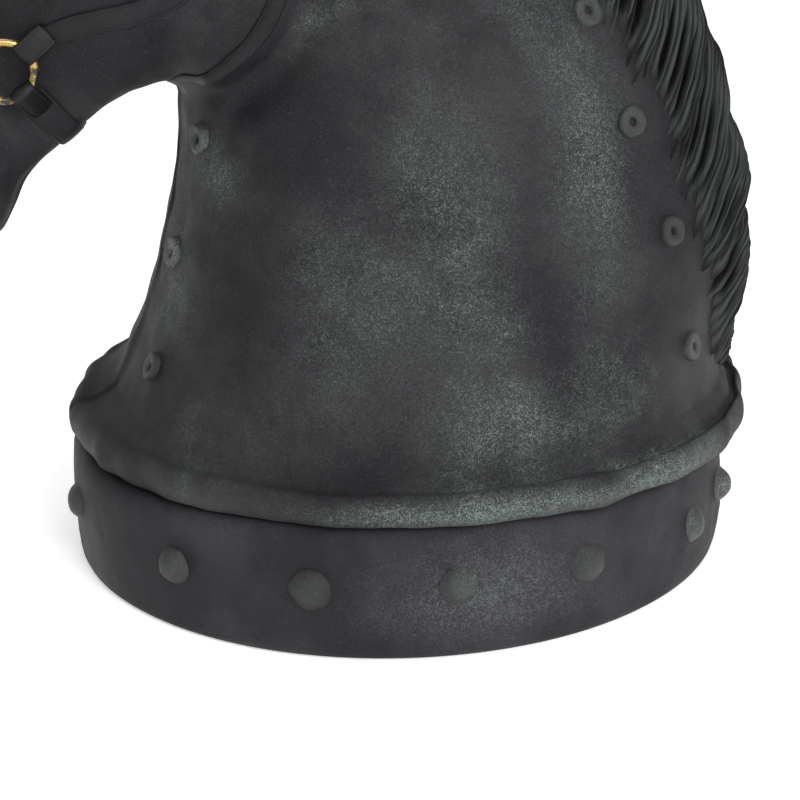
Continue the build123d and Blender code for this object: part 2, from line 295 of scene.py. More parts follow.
def tube_faces(rows, cols):
    """Quads of a tube made of rows of points, with both ends closed."""
    return grid_faces(rows, cols, close_cols=True) + [
        tuple(range(cols)), tuple(range((rows - 1) * cols, rows * cols))]


def fan(first, count):
    """Triangles from a ring of vertices to the vertex that follows it."""
    return [(first + c, first + (c + 1) % count, first + count) for c in range(count)]


def mirror_y(points):
    """Points on the other side of the parting plane."""
    out = np.array(points, float)
    out[..., 1] *= -1
    return out


# ---- the bust's surface ----------------------------------------------------
ROWS = catmull(SECTIONS, 20)
JOWL_EDGE = catmull([(-160, 409), (-137, 424), (-122, 437), (-108, 451), (-96, 468), (-88, 486),
                     (-76, 525), (-70, 575), (-72, 625), (-80, 665)], 5)
JUGULAR = catmull([(-128, 400), (-138, 340), (-150, 270), (-166, 200)], 5)
MOUTH = catmull([(-382, 330), (-362, 330), (-345, 338), (-330, 350), (-318, 364)], 5)
CREST_LINE = catmull([(-205, 566), (-240, 525), (-272, 486), (-300, 462)], 5)
EYE_TN = (214.0, -24.0)
NOSTRIL_TN = (-124.0, -2.0)
SLOW_LUMPS = Noise(120, 3)
FAST_LUMPS = Noise(34, 4)
SEAM_WANDER = Noise(60, 5)


def head_tn(x, z):
    """Head coordinates of side-view points: t towards the poll, n towards the jaw."""
    dx, dz = x - HEAD_O[0], z - HEAD_O[1]
    c, s = cos(HEAD_ANGLE), sin(HEAD_ANGLE)
    return dx * c + dz * s, dx * s - dz * c


def head_xz(t, n):
    """Side-view point of head coordinates."""
    c, s = cos(HEAD_ANGLE), sin(HEAD_ANGLE)
    return HEAD_O[0] + t * c + n * s, HEAD_O[1] + t * s - n * c


def plain_surface(v, a, crest=0.0):
    """Points of the bust's left side before sculpting. v runs over the sections
    from 0 to 1, and a from 0 under the neck and jaw to pi on the crest."""
    v, a = np.broadcast_arrays(np.asarray(v, float), np.asarray(a, float))
    at = np.clip(v, 0, 1) * (len(ROWS) - 1)
    low = np.minimum(at.astype(int), len(ROWS) - 2)
    share = (at - low)[..., None]
    row = ROWS[low] * (1 - share) + ROWS[low + 1] * share
    ax, az, bx, bz, half_width, rise = np.moveaxis(row, -1, 0)
    length = np.hypot(bx - ax, bz - az)
    ux, uz = (bx - ax) / length, (bz - az) / length
    c, s = np.cos(a), np.sin(a)
    power = 2 / SECTION_POWER
    along = length / 2 - length / 2 * np.sign(c) * np.abs(c) ** power
    along = along + crest * rise * np.maximum(0, -c) ** CREST_SHARPNESS
    across = half_width * np.abs(s) ** power
    return np.stack([ax + ux * along, -across, az + uz * along], -1)


def sculpt(p, facing):
    """How far the modelled surface stands out from the plain one, in mm."""
    x, z = p[..., 0], p[..., 2]
    t, n = head_tn(x, z)
    side = smoothstep(0.25, 0.75, facing)
    out = 1.1 * SLOW_LUMPS(p) + 0.35 * FAST_LUMPS(p)

    edge, along = signed_distance(x, z, JOWL_EDGE)
    open_end = smoothstep(0.0, 0.08, along) * smoothstep(1.0, 0.75, along)
    cheek = smoothstep(-5, 7, edge) * np.exp(-np.maximum(edge, 0) / 75)
    behind = bump(edge + 14, 11)
    out = out + side * open_end * (13 * cheek - 8 * behind)
    groove, along = signed_distance(x, z, JUGULAR)
    out = out - side * 5 * bump(groove, 17) * smoothstep(0, 0.15, along) * smoothstep(1, 0.5, along)
    out = out + side * 5 * bump(groove - 40, 24) * smoothstep(0, 0.3, along) * smoothstep(1, 0.6, along)

    et, en = t - EYE_TN[0], n - EYE_TN[1]
    ring = np.hypot(et / 25, en / 16)
    out = out + side * (9 * bump(np.hypot(et / 30, (en + 26) / 13), 1) - 6 * bump(ring, 0.62)
                        + 4.5 * bump(ring - 1.0, 0.17)
                        - 5 * bump(np.hypot((et - 46) / 24, (en + 12) / 22), 1))
    ridge, along = signed_distance(x, z, CREST_LINE)
    out = out + side * 6 * bump(ridge, 7) * smoothstep(0, 0.2, along) * smoothstep(1, 0.6, along)
    out = out - side * 5 * bump(np.hypot((t - 87) / 60, (n + 26) / 20), 1)
    out = out - side * 5 * bump(np.hypot((t - 44) / 26, (n - 44) / 22), 1)

    nt, nn = t - NOSTRIL_TN[0], n - NOSTRIL_TN[1]
    hole = np.hypot((nt + 0.45 * nn) / 15, (nn - 0.3 * nt) / 9)
    out = out + side * (5 * bump(hole - 1.15, 0.3) - 13 * bump(hole, 0.5))
    out = out - 4.5 * (1 - side) * smoothstep(15, 40, n) * smoothstep(75, 20, t) * smoothstep(-150, -60, t)
    lips, along = signed_distance(x, z, MOUTH)
    mouth = smoothstep(1.0, 0.85, along)
    out = out + mouth * (2.5 * bump(np.abs(lips) - 8, 4) - 5 * bump(lips, 2.2))
    return out


def surface(v, a, crest=0.0, height=0.0):
    """Points and outward normals of the modelled surface, raised by height."""
    e, f = 0.0012, 0.006
    p = plain_surface(v, a, crest)
    dv = plain_surface(v + e, a, crest) - plain_surface(np.asarray(v) - e, a, crest)
    ac = np.clip(a, f, pi - f)
    da = plain_surface(v, ac + f, crest) - plain_surface(v, ac - f, crest)
    normal = np.cross(da, dv)
    normal /= np.maximum(np.linalg.norm(normal, axis=-1), 1e-9)[..., None]
    q = p + normal * (sculpt(p, np.abs(normal[..., 1])) + height)[..., None]
    q[..., 1] = np.where(p[..., 1] >= -1e-6, p[..., 1], q[..., 1])
    return q, normal


def crease_height(angle):
    """Height of the hand-smoothed crease between band and ridge, round the plinth."""
    turn = np.degrees(np.angle(np.exp(1j * angle)))
    return (101.5 + 10 * np.exp(-((turn + 97) / 48) ** 2) - 6 * np.exp(-(turn / 35) ** 2)
            + 6 * np.exp(-((turn - 97) / 60) ** 2)
            + 0.8 * np.sin(5 * angle + 0.4) + 0.5 * np.sin(9 * angle + 2.0)
            + 2.2 * np.exp(-((turn + 56) / 4) ** 2) - 1.6 * np.exp(-((turn + 63) / 5) ** 2))


RIDGE_DENTS = [(-60, 7.0, 2.6), (-65, -4.0, 3.2), (-54, 3.5, 2.6), (-48, -2.5, 4), (-76, -2.2, 9),
               (-112, 2.5, 7), (-128, -2.0, 6), (62, 4, 6), (120, 3, 8)]
RIDGE_PROFILE = [(0.0, 0.0), (0.30, 0.005), (0.48, 0.02), (0.62, 0.05), (0.76, 0.11), (0.87, 0.19),
                 (0.95, 0.28), (0.99, 0.37), (1.0, 0.445), (0.988, 0.52), (0.955, 0.585), (0.90, 0.64),
                 (0.84, 0.68),
                 (0.77, 0.715), (0.70, 0.74), (0.62, 0.765), (0.54, 0.79), (0.45, 0.82), (0.36, 0.855),
                 (0.28, 0.89), (0.20, 0.925), (0.12, 0.96), (0.05, 0.99)]
RIDGE_EDGE_R = 284.0
RIDGE_FOOT_R = 262.0


def ridge_rows(neck):
    """Rows of the rolled ridge below the neck's first row, lowest first."""
    dx, dy = neck[:, 0] - RIDGE_X, neck[:, 1]
    angle = np.arctan2(dy, dx)
    r_neck = np.hypot(dx, dy)
    ring = np.stack([np.cos(angle) * RIDGE_EDGE_R, np.sin(angle) * RIDGE_EDGE_R, 0 * angle], 1)
    wave = 2.0 * Noise(70, 21)(ring)
    fine = 0.6 * Noise(22, 22)(ring)
    crease = crease_height(np.arctan2(ring[:, 1], ring[:, 0] + RIDGE_X))
    turn = np.degrees(angle)
    dent = sum(depth * bump(turn - at, width) for at, depth, width in RIDGE_DENTS)
    hollow = 4.5 + 3.5 * bump(turn + 50, 40) - 3.5 * bump(turn + 160, 35) - 2.0 * bump(turn + 125, 22)
    top = neck[:, 2] - 3.5
    rows = []
    for share, z in RIDGE_PROFILE:
        edge = RIDGE_EDGE_R + wave + fine
        inner = RIDGE_FOOT_R if z < 0.36 else r_neck + 5
        r = inner + share * (edge - inner) - dent * bump(z - 0.62, 0.2) * share
        height = crease + z * (top - crease)
        height = height - 0.7 * dent * smoothstep(0.5, 0.8, z) * smoothstep(1.02, 0.8, z)
        if z > 0.5:
            height = height - hollow * bump(share - 0.36, 0.2) + 3.4 * bump(share - 0.76, 0.19)
        rows.append(np.stack([RIDGE_X + r * np.cos(angle), r * np.sin(angle), height], 1))
    return rows


def half_bust():
    """Left half of the bust with its seam lip, as a grid of points."""
    near = np.array([0, 0.002, 0.005, 0.009, 0.014, 0.02, 0.027, 0.035, 0.045])
    a = np.r_[near, np.linspace(0.06, pi - 0.06, 190), pi - near[::-1]]
    v = np.linspace(0.0105, 1.0, 430)
    grid, normal = surface(v[:, None], a[None, :])
    flare = 3.5 * np.exp(-(grid[..., 2] - 150) / 10) * (v[:, None] < 0.12)
    grid[..., :2] += normal[..., :2] * flare[..., None]
    rows = ridge_rows(grid[0])
    tail = []
    centre = grid[-1].mean(0) * [1, 0, 1]
    forward = np.array([-cos(HEAD_ANGLE), 0, -sin(HEAD_ANGLE)])
    for q in (0.25, 0.5, 0.72, 0.9, 1.0):
        tail.append(grid[-1] + (centre - grid[-1]) * q ** 1.5 + forward * 9 * np.sin(q * pi / 2))
    full = np.concatenate([np.stack(rows), grid, np.stack(tail)])
    gap = 0.45
    reach = np.abs(full[..., 1])
    wander = 1 + 0.5 * SEAM_WANDER(full)
    lip = 2.2 * np.exp(-(reach / (3.4 * wander)) ** 2)
    step = np.zeros_like(full)
    step[1:-1] = full[2:] - full[:-2]
    step[0], step[-1] = step[1], step[-2]
    across = np.zeros_like(full)
    across[:, 1:-1] = full[:, 2:] - full[:, :-2]
    across[:, 0], across[:, -1] = across[:, 1], across[:, -2]
    outward = -np.cross(step, across)
    outward /= np.maximum(np.linalg.norm(outward, axis=-1), 1e-9)[..., None]
    full = full + outward * lip[..., None]
    full[..., 1] = np.minimum(full[..., 1], -gap)
    return full


def flipped(faces):
    """The same faces seen from the other side."""
    return [tuple(reversed(face)) for face in faces]


def make_shells():
    """Both half shells of the bust."""
    grid = half_bust()
    shells = []
    for name, side in (("left_shell", grid), ("right_shell", mirror_y(grid))):
        rows, cols, _ = side.shape
        rim = side[0] * [0.9, 0.9, 1] + [0, 0, 4]
        verts = np.vstack([side.reshape(-1, 3), rim])
        base = rows * cols
        faces = grid_faces(rows, cols)
        faces += [(c + 1, c, base + c, base + c + 1) for c in range(cols - 1)]
        if name == "right_shell":
            faces = flipped(faces)
        shells.append(make_object("skin_" + name, verts, faces))
    return shells


def tree_of(objects):
    """One search tree over several meshes, in millimetres."""
    verts, faces = [], []
    for obj in objects:
        base = len(verts)
        verts += [v.co / MM for v in obj.data.vertices]
        faces += [tuple(base + i for i in p.vertices) for p in obj.data.polygons]
    return BVHTree.FromPolygons(verts, faces)


# ---- plinth ----------------------------------------------------------------
def make_band():
    """Hollow band of the plinth, with a soft foot and a wavy crease on top."""
    count = 720
    angle = np.linspace(0, 2 * pi, count, endpoint=False)
    crease = crease_height(angle)
    lumps, fine = Noise(110, 31), Noise(26, 32)
    rows = []
    # radius, height, and 1 where the height is counted from the crease
    profile = [(267.5, 24, 0), (266.4, 0, 0), (270.5, 0.6, 0), (273, 2.4, 0), (274.4, 5.5, 0),
               (275.2, 11, 0), (276.0, 22, 0), (276.6, 36, 0), (276.9, 50, 0), (276.9, 64, 0), (276.6, 76, 0),
               (275.6, -14, 1), (274.0, -8, 1), (271.5, -4, 1), (268.5, -1.2, 1), (264, 0.3, 1),
               (252, 0.6, 1)]
    for r, z, from_crease in profile:
        height = crease + z if from_crease else z + 0 * angle
        p = np.stack([r * np.cos(angle), r * np.sin(angle), height], 1)
        swell = (0.9 * lumps(p) + 0.3 * fine(p)) * smoothstep(-1, 20, height)
        foot = 0.8 * lumps(p * [1, 1, 0]) * (z == 0) * (1 - from_crease)
        radius = r + swell - np.abs(foot) * 0.4
        rows.append(np.stack([radius * np.cos(angle), radius * np.sin(angle), height], 1))
    verts = np.concatenate(rows)
    return make_object("band_casting", verts, grid_faces(len(rows), count, close_cols=True))


def lathe(profile, count, place, outward, noise, rough=0.4, hole_shift=0.0):
    """Vertices and faces of a hand-made disc or dome about an axis."""
    outward = np.asarray(outward, float)
    outward = outward / np.linalg.norm(outward)
    side = np.cross([0, 0, 1], outward)
    side /= np.linalg.norm(side)
    up = np.cross(outward, side)
    angle = np.linspace(0, 2 * pi, count, endpoint=False)
    rows = []
    for r, h in profile:
        ring = np.stack([r * np.cos(angle), r * np.sin(angle)], 1)
        ring[:, 0] += hole_shift * (1 - min(r / 14.0, 1))
        p = place + ring[:, :1] * side + ring[:, 1:] * up + outward * h
        wobble = noise(p) * rough * min(1.0, r / 6.0)
        p = p + (ring[:, :1] * side + ring[:, 1:] * up) / max(r, 1) * wobble[:, None]
        p = p + outward * (0.6 * wobble)[:, None]
        rows.append(p)
    verts = np.concatenate(rows + [np.mean(rows[-1], 0)[None]])
    return verts, grid_faces(len(rows), count, close_cols=True) + fan((len(rows) - 1) * count, count)


def joined(name, parts):
    """One object from several lists of vertices and faces."""
    verts, faces = [], []
    base = 0
    for v, f in parts:
        verts.append(np.asarray(v))
        faces += [tuple(base + i for i in face) for face in f]
        base += len(v)
    return make_object(name, np.vstack(verts), faces)


def make_studs():
    """Domed studs round the band, each a little different."""
    parts = []
    for k, degrees_round in enumerate(STUD_ANGLES):
        angle = radians(degrees_round)
        outward = np.array([-cos(angle), -sin(angle), 0.0])
        tall = RNG.uniform(0.88, 1.08)
        wide = RNG.uniform(0.95, 1.06)
        profile = [(16.4, -2.5), (16.2, 0.2), (15.6, 1.4), (14.4, 3.0), (12.4, 5.6), (9.8, 8.3),
                   (7.0, 10.2), (4.2, 11.2), (1.8, 11.6)]
        profile = [(r * wide, h * tall if h > 0 else h) for r, h in profile]
        place = outward * (BASE_R - 0.7) + np.array([0, 0, STUD_Z + STUD_RISES[k]])
        parts.append(lathe(profile, 40, place, outward, Noise(16, 50 + k), 0.35))
    return joined("band_studs", parts)


def make_rivets(tree):
    """Washer-headed rivets on both sides of the neck."""
    objects = []
    for sign, name in ((1, "left"), (-1, "right")):
        parts = []
        for k, (x, z) in enumerate(FRONT_RIVETS + REAR_RIVETS):
            back = 18 if sign < 0 and k < len(FRONT_RIVETS) else 0
            hit, normal, _, _ = tree.ray_cast(Vector((x + back, -600 * sign, z)), Vector((0, sign, 0)))
            wide = RNG.uniform(0.80, 0.88)
            profile = [(14.8, -4), (14.7, 0.8), (14.4, 2.6), (13.6, 3.9), (12.0, 4.7), (9.8, 4.6),
                       (7.2, 4.2), (5.2, 3.7), (4.1, 2.9), (3.4, 1.2), (2.9, -1.4), (1.6, -3.8), (0.6, -4.0)]
            profile = [(r * wide, h) for r, h in profile]
            shift = RNG.uniform(0.6, 2.4)
            parts.append(lathe(profile, 44, np.array(hit), np.array(normal),
                               Noise(15, 80 + k + 20 * (sign < 0)), 0.45, shift))
        objects.append(joined(f"rivets_{name}", parts))
    return objects


# ---- mane ------------------------------------------------------------------
MANE_TIPS = [
    (264, 126), (252, 172), (243, 256), (233, 288), (212, 349),
    (186, 416), (148, 484), (104, 548), (56, 602), (6, 650), (-40, 694),
]
STRANDS = 8
LOCK_FLOOR = 0.8
LOCK_THICK = 9.0
MERGE = 0.00002      # metres: joins the two sides of a lock along the crest
HAIR_NOISE = Noise(9, 600)
CREST_V = np.linspace(0, 1, 2000)
CREST_POINTS = plain_surface(CREST_V, np.full(2000, pi), 1.0)[:, [0, 2]]


def crest_v(x, z):
    """Place along the sections of the crest point nearest to a side-view point."""
    return CREST_V[np.argmin(np.hypot(CREST_POINTS[:, 0] - x, CREST_POINTS[:, 1] - z))]


def flank_va(x, z):
    """Section place and angle of the rear flank point seen at x, z from the side."""
    v, a = np.meshgrid(np.linspace(0, 0.62, 500), np.linspace(1.6, pi, 240), indexing="ij")
    p = plain_surface(v, a)
    k = np.argmin(np.hypot(p[..., 0] - x, p[..., 2] - z))
    return v.flat[k], a.flat[k]


def make_lock(k):
    """One lock of the mane, both sides, carved into pointed strands. s runs up the
    crest from one notch to the next, and b from the crest to the strands' tips."""
    rng = np.random.default_rng(200 + k)
    low_v, high_v = crest_v(*MANE_NOTCHES[k]), crest_v(*MANE_NOTCHES[k + 1])
    low_tip, high_tip = flank_va(*MANE_TIPS[k]), flank_va(*MANE_TIPS[k + 1])
    s = np.linspace(-0.035, 1.035, 150)
    b = np.linspace(0, 1, 50)
    phase = rng.uniform(-0.045, 0.045, STRANDS + 1)
    sides = []
    for side in (1, -1):
        cuts = np.clip((np.arange(STRANDS + 1) / STRANDS) ** 0.85 + phase + 0.01 * side, 0, 1)
        cuts[0], cuts[-1] = 0.0, 1.0
        nearest = np.abs(s[:, None] - cuts[None, :])
        gap = nearest.min(1)
        reach = 1.0 + 0.10 * rng.uniform(-1, 1, STRANDS + 1)
        strand = np.clip(np.searchsorted(cuts, s, side="right") - 1, 0, STRANDS - 1)
        middle = (cuts[strand] + cuts[strand + 1]) / 2
        half = (cuts[strand + 1] - cuts[strand]) / 2
        point = 1 - np.clip(np.abs(s - middle) / half, 0, 1.2)
        length = reach[strand] * (0.80 + 0.24 * point)
        root_v = low_v + (high_v - low_v) * s
        tip_v = low_tip[0] + (high_tip[0] - low_tip[0]) * s
        tip_a = low_tip[1] + (high_tip[1] - low_tip[1]) * s
        along = b[None, :] * length[:, None]
        ease = along ** 1.12
        v = root_v[:, None] + (tip_v - root_v)[:, None] * ease
        a = pi + (tip_a[:, None] - pi) * (along ** 0.86)
        v = v + 0.004 * np.sin(pi * np.clip(along, 0, 1)) * np.sin(2.2 * s + k)[:, None]
        fade = np.clip(1 - b[None, :] ** 3, 0, 1)
        inside = np.clip(s, 0, 1)
        layer = 2.6 + 8.4 * (1 - inside) ** 0.75
        arch = smoothstep(-0.02, 0.03, s) * (0.82 + 0.18 * np.sin(pi * np.clip(inside * 1.2, 0, 1)))
        body = (layer * arch)[:, None] * (0.22 + 0.78 * fade) + 0.3
        groove = np.zeros((len(s), len(b)))
        for index, cut in enumerate(cuts[1:]):
            deep = index % 2 == 1
            start, end = (rng.uniform(0.22, 0.45), 1.06) if deep else (rng.uniform(0, 0.3), 0.97)
            half_cut = rng.uniform(0.040, 0.060) if deep else rng.uniform(0.008, 0.014)
            lens = np.sin(pi * np.clip((b - start) / (end - start), 0, 1)) ** 0.6
            across = (s - cut)[:, None] / (half_cut * lens[None, :] + 0.003)
            depth = 1.0 if deep else rng.uniform(0.25, 0.6)
            groove = np.maximum(groove, depth * lens[None, :] * np.exp(-across ** 4))
        hair_s, hair_b = np.meshgrid(s * 420, b * 26 + k * 31, indexing="ij")
        grain = 0.6 * HAIR_NOISE(np.stack([hair_s, hair_b, 0 * hair_s], -1)) * fade
        height = body * (1 - groove) + grain
        wedge = smoothstep(0.70 + 0.22 * b[None, :], 0.86 + 0.10 * b[None, :], s[:, None])
        wedge = wedge * (1 - 0.4 * b[None, :])
        height = np.maximum(height - wedge * (5.0 + 0.6 * body), LOCK_FLOOR)
        height = np.where((s[:, None] < 0) | (s[:, None] > 1), height - 9, height)
        height = height - 3.0 * smoothstep(0.93, 1.0, b)[None, :]
        crest = 0.80 * (1 - along ** 1.6 * 0.9)
        p, normal = surface(v, a, crest, 0.0)
        normal[..., 1] *= np.minimum(1, b * 6)[None, :]
        back = normal * [1, side, 1]
        p = p + normal * height[..., None]
        p[:, 0, 1] = 0
        # Painted shade: how dark the colour is made in the carved grooves and in the wedge-shaped gap under
        # the next lock.
        painted_shade = np.clip(groove * 1.3, 0, 1)
        painted_shade = np.maximum(painted_shade, wedge * 0.9)
        wear = np.exp(-((gap[:, None] - 0.04) / 0.02) ** 2) * (1 - painted_shade) * smoothstep(0, 0.3, b)[None, :]
        if side < 0:
            p = mirror_y(p)
        sides.append((p, back, painted_shade, wear))
    count_s, count_b = len(s), len(b)
    size = count_s * count_b
    far = size - count_b
    border = ([(r * count_b + count_b - 1, (r + 1) * count_b + count_b - 1) for r in range(count_s - 1)]
              + [(far + c + 1, far + c) for c in range(count_b - 1)]
              + [(c, c + 1) for c in range(count_b - 1)])
    verts, painted_shades, wears, faces = [], [], [], []
    for index, (p, back, painted_shade, wear) in enumerate(sides):
        base = index * size * 2
        under = p - back * LOCK_THICK
        under[:, 0, 1] = 0
        sheet = grid_faces(count_s, count_b, offset=base)
        lining = grid_faces(count_s, count_b, offset=base + size)
        walls = [(base + i, base + j, base + size + j, base + size + i) for i, j in border]
        faces += sheet + flipped(lining) + walls
        verts += [p.reshape(-1, 3), under.reshape(-1, 3)]
        # The lock's underside is painted fully shaded.
        painted_shades += [painted_shade.reshape(-1), np.ones(size)]
        wears += [wear.reshape(-1), np.zeros(size)]
    obj = make_object(f"mane_curl_{k + 1:02d}", np.vstack(verts), faces)
    for name, values in (("painted_shade", painted_shades), ("wear", wears)):
        attribute = obj.data.attributes.new(name, "FLOAT", "POINT")
        attribute.data.foreach_set("value", np.concatenate(values).astype(np.float32))
    return fix_normals(obj, MERGE)


# ---- head fittings ---------------------------------------------------------
STRAP_PROFILE = [(-1.0, -2.5), (-1.0, 0.6), (-0.97, 1.9), (-0.9, 2.7), (-0.82, 3.1), (-0.78, 2.75),
                 (-0.74, 2.75), (-0.68, 3.2), (-0.4, 3.5), (0.0, 3.6), (0.4, 3.5), (0.68, 3.2),
                 (0.74, 2.75), (0.78, 2.75), (0.82, 3.1), (0.9, 2.7), (0.97, 1.9), (1.0, 0.6), (1.0, -2.5)]


def make_strap(name, tree, guide, width, samples=140):
    """Strap laid on the head along 3-D guide points, with rolled, creased edges."""
    path = resample(catmull(guide, 12), samples)
    count = len(path)
    widths = np.interp(np.linspace(0, 1, count), np.linspace(0, 1, len(width)), width)
    hits, normals = [], []
    for p in path:
        hit, normal, _, _ = tree.find_nearest(Vector(p))
        hits.append(hit)
        normals.append(normal)
    hits, normals = np.array(hits), np.array(normals)
    kernel = np.ones(7) / 7
    for _ in range(2):
        pad = np.pad(normals, ((3, 3), (0, 0)), mode="edge")
        normals = np.stack([np.convolve(pad[:, c], kernel, "valid") for c in range(3)], 1)
        normals /= np.linalg.norm(normals, axis=1)[:, None]
    tangent = np.gradient(hits, axis=0)
    tangent /= np.linalg.norm(tangent, axis=1)[:, None]
    across = np.cross(tangent, normals)
    across /= np.linalg.norm(across, axis=1)[:, None]
    rows = []
    noise = Noise(40, 300 + len(name))
    for i in range(count):
        row = []
        for share, up in STRAP_PROFILE:
            q = hits[i] + across[i] * share * widths[i] / 2
            near, _, _, _ = tree.find_nearest(Vector(q + normals[i] * 4))
            row.append(np.array(near) + normals[i] * up * min(1, widths[i] / 16))
        rows.append(row)
    grid = np.array(rows)
    grid = grid + normals[:, None, :] * (0.35 * noise(grid))[..., None]
    return fix_normals(make_object(name, grid.reshape(-1, 3), tube_faces(count, len(STRAP_PROFILE))))


def loop_round(tree, centre, direction, half_angle, reach):
    """Guide points round the bust in the plane through centre that holds the y axis
    and a side-view direction, up to half_angle degrees either side of it."""
    middle = np.array([centre[0], 0.0, centre[1]])
    ahead = np.array([direction[0], 0.0, direction[1]]) / np.hypot(*direction)
    points = []
    for angle in np.radians(np.linspace(-half_angle, half_angle, 60)):
        out = ahead * cos(angle) + np.array([0, -1, 0]) * sin(angle)
        hit, _, _, _ = tree.ray_cast(Vector(middle + out * reach), Vector(-out))
        points.append(np.array(hit))
    return points


def on_flank(tree, x, z, sign=1):
    """Surface point seen from the side at x, z."""
    hit, normal, _, _ = tree.ray_cast(Vector((x, -500 * sign, z)), Vector((0, sign, 0)))
    return np.array(hit), np.array(normal)


CHEEK_LINE = [(-289, 457), (-266, 469), (-236, 480), (-205, 487), (-170, 505), (-136, 553), (-113, 612),
              (-98, 652)]
RING_R = 23.2
THROAT_LINE = [(-92, 634), (-82, 580), (-86, 530), (-99, 491), (-118, 458), (-143, 433), (-160, 422)]


def make_bridle(tree):
    """Straps of the bridle, by CAD node."""
    straps = {}
    nose = loop_round(tree, (-327, 453), (-0.729, 0.684), 80, 120)
    straps["noseband"] = make_strap("strap_noseband", tree, nose, [24])
    chin = loop_round(tree, (-298, 421), (0.606, -0.795), 82, 88)
    straps["chin_strap"] = make_strap("strap_chin", tree, chin, [24])
    for sign, side in ((1, "left"), (-1, "right")):
        guide = [on_flank(tree, x, z, sign)[0] for x, z in resample(catmull(CHEEK_LINE, 8), 40)]
        straps[f"{side}_cheekpiece"] = make_strap(f"strap_cheek_{side}", tree, guide, [19, 22, 24, 25])
    half = [on_flank(tree, x, z)[0] for x, z in resample(catmull(THROAT_LINE, 8), 36)]
    half = half + [np.array([-166, -48, 424]), np.array([-172, -24, 420]), np.array([-174, 0, 418])]
    whole = half + [p * [1, -1, 1] for p in half[:-1]][::-1]
    widths = [20, 20, 20, 19, 9, 6, 9, 19, 20, 20, 20]
    straps["throat_lash"] = make_strap("strap_throat", tree, whole, widths, 260)
    crown = loop_round(tree, (-88, 676), (0.332, 0.943), 112, 300)
    straps["crownpiece"] = make_strap("strap_crown", tree, crown, [28])
    brow = loop_round(tree, (-100, 664), (-0.77, 0.638), 96, 300)
    straps["browband"] = make_strap("strap_brow", tree, brow, [18])
    return straps


def ring_centre(node):
    """Centre of a bridle ring from its CAD box, in millimetres."""
    low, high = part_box(node)
    return np.array((low + high) / 2) / MM


def make_ring(node):
    """Cast ring with a slightly uneven wire."""
    centre = ring_centre(node)
    major, minor = RING_R, 3.3
    u = np.linspace(0, 2 * pi, 120, endpoint=False)[:, None]
    w = np.linspace(0, 2 * pi, 24, endpoint=False)[None, :]
    wobble = 0.16 * np.sin(3 * u + 1) + 0.12 * np.sin(7 * u)
    r = major + (minor + wobble) * np.cos(w)
    y = (minor + wobble) * np.sin(w) * 0.94
    p = np.stack([centre[0] + r * np.cos(u), centre[1] + y, centre[2] + r * np.sin(u)], -1)
    return fix_normals(make_object("bit_" + node, p.reshape(-1, 3), grid_faces(120, 24, True, True)))


LOOP_ANGLES = (HEAD_ANGLE + pi / 2, radians(-52.7), radians(41))


def make_loops(node, ring_node, tree):
    """Strap ends folded round the ring, each a rolled band with a stitched tail."""
    centre = ring_centre(ring_node)
    sign = -1 if centre[1] < 0 else 1
    out = np.array([0, sign, 0])
    profile = [(-1, 0), (-0.985, 0.45), (-0.94, 0.8), (-0.86, 0.98), (-0.8, 0.78), (-0.75, 0.78),
               (-0.68, 1.0), (-0.3, 1.3), (0, 1.4), (0.3, 1.3), (0.68, 1.0), (0.75, 0.78), (0.8, 0.78),
               (0.86, 0.98), (0.94, 0.8), (0.985, 0.45), (1, 0), (0.95, -0.7), (0.7, -0.9), (-0.7, -0.9),
               (-0.95, -0.7)]
    parts = []
    for angle in LOOP_ANGLES:
        radial = np.array([cos(angle), 0, sin(angle)])
        tangent = np.array([-sin(angle), 0, cos(angle)])
        wire = centre + radial * RING_R
        far = centre + radial * 45
        tail, _ = on_flank(tree, far[0], far[2], -sign)
        over = [wire + (-radial * cos(turn) + out * sin(turn)) * 5.2 for turn in np.linspace(-1.5, 1.5, 20)]
        end = tail + out * 4.6
        rise = [over[-1] + (end - over[-1]) * q + out * 1.2 * sin(pi * q) for q in np.linspace(0.2, 1, 8)]
        path = resample(np.array([*over, *rise, end + radial * 2 - out * 5]), 44)
        step = np.gradient(path, axis=0)
        step /= np.linalg.norm(step, axis=1)[:, None]
        normal = np.cross(step, tangent)
        normal *= np.sign((normal * (path - wire)).sum(-1).mean())
        rows = []
        for k, (q, up) in enumerate(zip(path, normal)):
            half = 10.2 - 0.8 * smoothstep(30, 43, k)
            rows.append([q + tangent * w * half + up * h * 1.8 for w, h in profile])
        parts.append((np.array(rows).reshape(-1, 3), tube_faces(len(path), len(profile))))
    return fix_normals(joined("loops_" + node, parts))


def make_eye(tree, sign, name):
    """Glossy eyeball in its socket."""
    point, normal = on_flank(tree, *head_xz(*EYE_TN), sign)
    centre = point - normal * 13.0
    u = np.linspace(0.02, pi - 0.02, 40)[:, None]
    w = np.linspace(0, 2 * pi, 60, endpoint=False)[None, :]
    c, s = cos(HEAD_ANGLE), sin(HEAD_ANGLE)
    long_axis, short_axis = np.array([c, 0, s]), np.array([s, 0, -c])
    out = np.array([0, -sign, 0])
    p = (centre + (np.cos(u) * 20)[..., None] * out
         + (np.sin(u) * np.cos(w) * 22)[..., None] * long_axis
         + (np.sin(u) * np.sin(w) * 16)[..., None] * short_axis)
    return fix_normals(make_object(name, p.reshape(-1, 3), grid_faces(40, 60, close_cols=True)))


EAR_SECTIONS = [(-104, -47, 712, 25, 20), (-106, -49, 734, 26, 20), (-109, -53, 762, 24.5, 17),
                (-113, -58, 790, 19.5, 13), (-117, -62, 814, 11.5, 8), (-121, -66, 835, 2.0, 1.6)]


